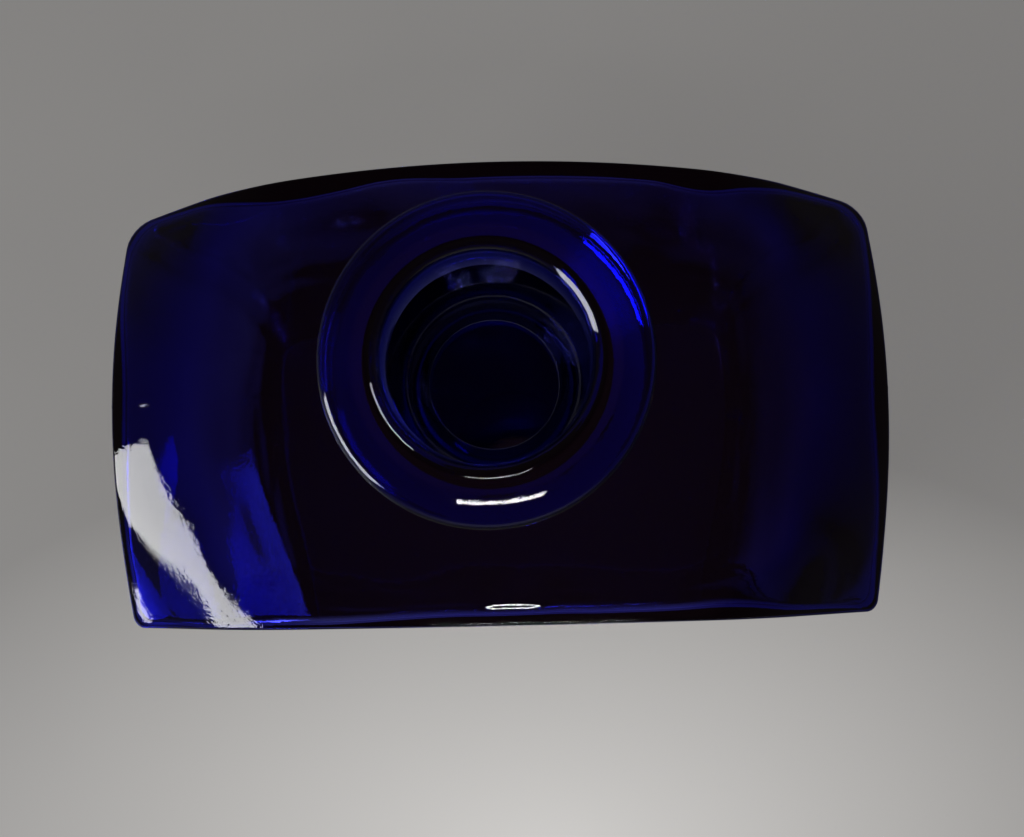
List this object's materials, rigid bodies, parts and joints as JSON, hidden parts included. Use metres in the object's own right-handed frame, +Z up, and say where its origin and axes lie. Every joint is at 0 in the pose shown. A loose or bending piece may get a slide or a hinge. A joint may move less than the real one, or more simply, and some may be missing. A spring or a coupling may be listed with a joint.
{
  "type": "vanity bottle",
  "caption": "Cobalt glass vanity bottle with a flat front, a bowed back, a shoulder that rolls off at its corners, a thick round lip and an open mouth, and its cork-sleeved glass stopper standing beside it.",
  "frame": {"origin": "middle of the bottle's base, on the neck's axis", "axes": "+Z up along the neck's axis, -Y out of the flat front, +X to the right when the front is seen"},
  "size_m": [0.1626, 0.0487, 0.128],
  "materials": {
    "cobalt_glass": "gloss",
    "cork": "matte"
  },
  "bodies": {
    "bottle": {"glass_bottle": "cobalt_glass"},
    "stopper": {"stopper_head": "cobalt_glass", "stopper_cork": "cork"}
  },
  "joints": [
    {"name": "stopper_lift", "type": "slide", "parent": "bottle", "child": "stopper", "axis": [0, 0, 1], "range_m": [0, 0.15]}
  ]
}
